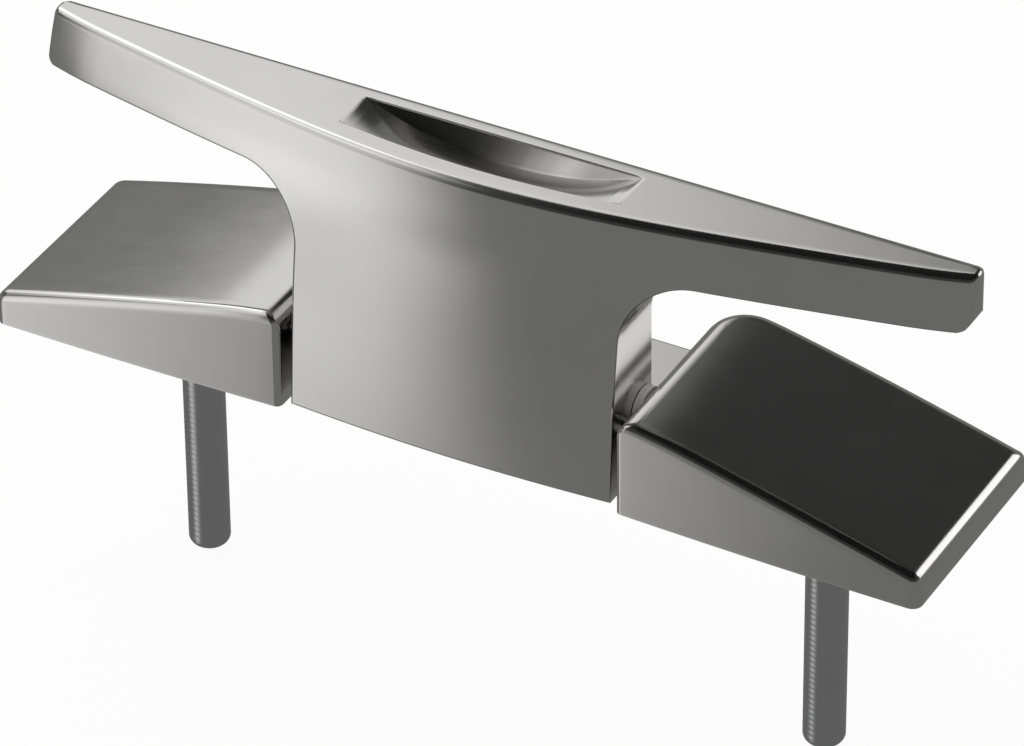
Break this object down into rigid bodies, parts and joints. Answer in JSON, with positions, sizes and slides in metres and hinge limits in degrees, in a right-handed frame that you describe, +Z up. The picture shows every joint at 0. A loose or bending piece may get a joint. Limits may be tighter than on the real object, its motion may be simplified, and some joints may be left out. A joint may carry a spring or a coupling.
{
  "type": "folding deck cleat",
  "caption": "Deck cleat with a T-shaped horn that hinges down between the two wedge ends of its base, a finger scoop in its top, and threaded mounting studs below.",
  "frame": {"origin": "on the deck plane, the underside of the base, midway between the two studs and straight below the horn's back plane", "axes": "+X along the horn towards the right tip, +Y from the front towards the back, the way the horn folds, +Z up away from the deck"},
  "size_m": [0.2362, 0.0567, 0.14],
  "materials": {
    "cast_steel": "polished and slightly satin cast stainless steel",
    "stud_steel": "bright threaded stainless rod",
    "pin_steel": "ground steel",
    "bronze": "plain bearing bronze",
    "nylon": "black nylon",
    "screw_steel": "dark machined steel",
    "spring_steel": "drawn spring wire",
    "rubber": "black rubber"
  },
  "bodies": {
    "base": {"base": "cast_steel", "left_stud": "stud_steel", "left_hinge_pin": "pin_steel", "left_thrust_washer": "nylon", "left_grub_screw": "screw_steel", "left_detent_pin": "pin_steel", "left_detent_spring": "spring_steel", "left_detent_plug": "screw_steel", "left_rest_button": "rubber", "right_stud": "stud_steel", "right_hinge_pin": "pin_steel", "right_thrust_washer": "nylon", "right_grub_screw": "screw_steel", "right_detent_pin": "pin_steel", "right_detent_spring": "spring_steel", "right_detent_plug": "screw_steel", "right_rest_button": "rubber"},
    "horn": {"horn": "cast_steel", "left_bush": "bronze", "right_bush": "bronze"}
  },
  "joints": [
    {"name": "horn_fold", "type": "hinge", "parent": "base", "child": "horn", "pos_m": [0, -0.017, 0.0175], "axis": [-1, 0, 0], "range_deg": [0, 90]}
  ]
}
